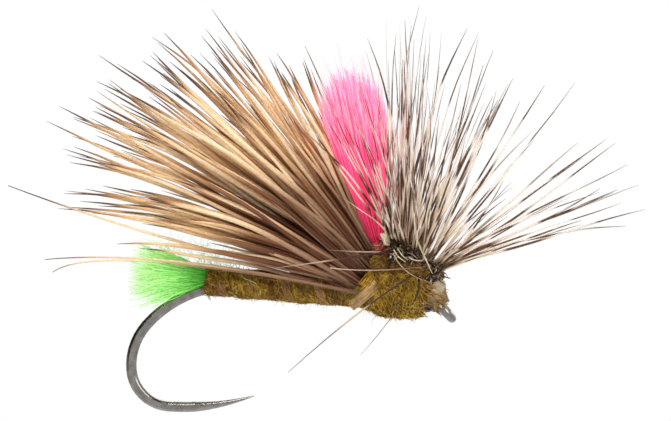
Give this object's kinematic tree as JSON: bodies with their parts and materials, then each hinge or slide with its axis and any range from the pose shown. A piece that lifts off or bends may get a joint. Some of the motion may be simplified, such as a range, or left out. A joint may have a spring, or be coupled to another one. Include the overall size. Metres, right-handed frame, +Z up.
{
  "type": "dry fly",
  "caption": "Dry fly tied on a barbless down-eye hook: fan wing of deer hair, pink yarn post, grizzly hackle on a loop, olive dubbed body and a green tuft.",
  "frame": {"origin": "centre of the hook's eye", "axes": "+X forward along the shank to the eye, +Y to the fly's left, +Z up, with the hook's bend below"},
  "size_m": [0.0288, 0.015, 0.0188],
  "materials": {
    "hook_wire": "black nickel over forged wire, satin",
    "body_thread": "olive brown tying thread, waxed",
    "rib_thread": "flat dusky tan thread",
    "head_thread": "dark brown thread, waxed",
    "collar_thread": "pale grey beige thread and fibre ends",
    "olive_dubbing": "fuzzy olive and brown fur",
    "green_yarn": "fluorescent green yarn, pale at the tips",
    "pink_yarn": "fluorescent pink yarn",
    "deer_hair": "natural hair, grey brown to tan with dark tips",
    "grizzly_barb": "cream barbs with dark bars, glossy",
    "feather_stem": "cream feather stem"
  },
  "bodies": {
    "root": {"hook": "hook_wire", "thread_underbody": "body_thread", "butt_tuft": "green_yarn", "butt_tie_thread": "body_thread", "abdomen_dubbing": "olive_dubbing", "rib_thread": "rib_thread", "wing_butts": "deer_hair", "wing_tie_thread": "rib_thread", "wing_hair_flank_right": "deer_hair", "wing_hair_flank_left": "deer_hair", "wing_hair_rear": "deer_hair", "wing_hair_middle": "deer_hair", "wing_hair_upper": "deer_hair", "wing_stray_hairs": "deer_hair", "thorax_dubbing": "olive_dubbing", "post_yarn": "pink_yarn", "post_base_thread": "body_thread", "hackle_loop": "body_thread", "hackle_quill": "grizzly_barb", "hackle_stem_butt": "feather_stem", "hackle_barbs_rear": "grizzly_barb", "hackle_barbs_middle": "grizzly_barb", "hackle_barbs_front": "grizzly_barb", "hackle_stray_barbs": "grizzly_barb", "head_collar_thread": "collar_thread", "head_thread": "head_thread"}
  },
  "joints": []
}
